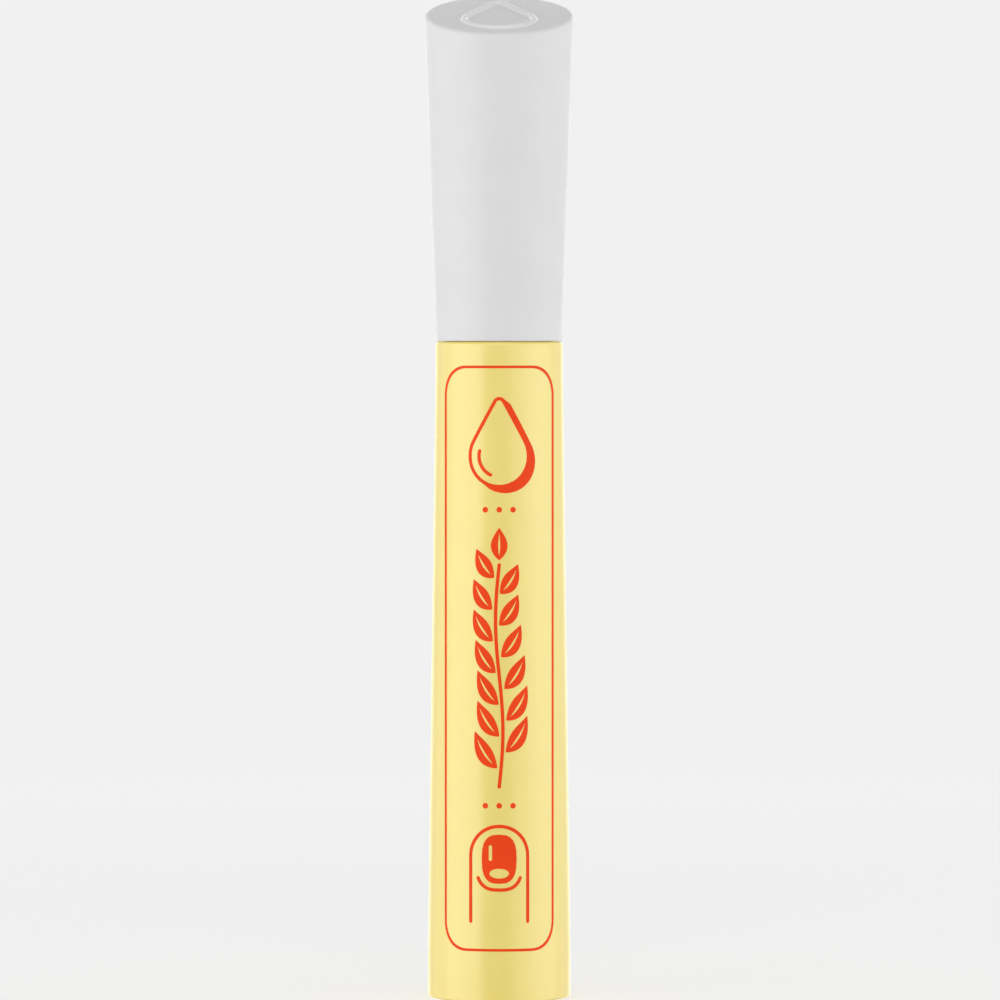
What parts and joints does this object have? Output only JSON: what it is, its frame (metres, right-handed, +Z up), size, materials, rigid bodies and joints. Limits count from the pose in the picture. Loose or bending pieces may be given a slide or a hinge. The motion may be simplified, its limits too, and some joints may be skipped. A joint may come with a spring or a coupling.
{
  "type": "cuticle remover pen",
  "caption": "Capped felt-tip pen for nail care: waisted barrel, flared cap with a slanted top that pulls off, fibre reservoir, snap-in nose and a chisel nib.",
  "frame": {"origin": "centre of the barrel's base", "axes": "+Z up along the pen, from the base to the cap; -Y towards the printed front, where the cap's slanted top is lowest; +X to the right of someone who faces the print"},
  "size_m": [0.0182, 0.0182, 0.1231],
  "materials": {
    "cap_white": "satin moulded",
    "barrel_yellow": "satin moulded",
    "nose_white": "satin moulded",
    "liner_natural": "soft moulded",
    "reservoir_fibre": "bonded fibre",
    "reservoir_film": "thin clear film",
    "nib_felt": "ground felt",
    "print_orange": "printed ink"
  },
  "bodies": {
    "pen_body": {"barrel": "barrel_yellow", "end_plug": "barrel_yellow", "reservoir_core": "reservoir_fibre", "reservoir_wrap": "reservoir_film", "nose_section": "nose_white", "nib": "nib_felt"},
    "cap": {"cap_shell": "cap_white", "inner_cap": "liner_natural"}
  },
  "joints": [
    {"name": "cap_pull", "type": "slide", "parent": "pen_body", "child": "cap", "axis": [0, 0, 1], "range_m": [0, 0.034]}
  ]
}
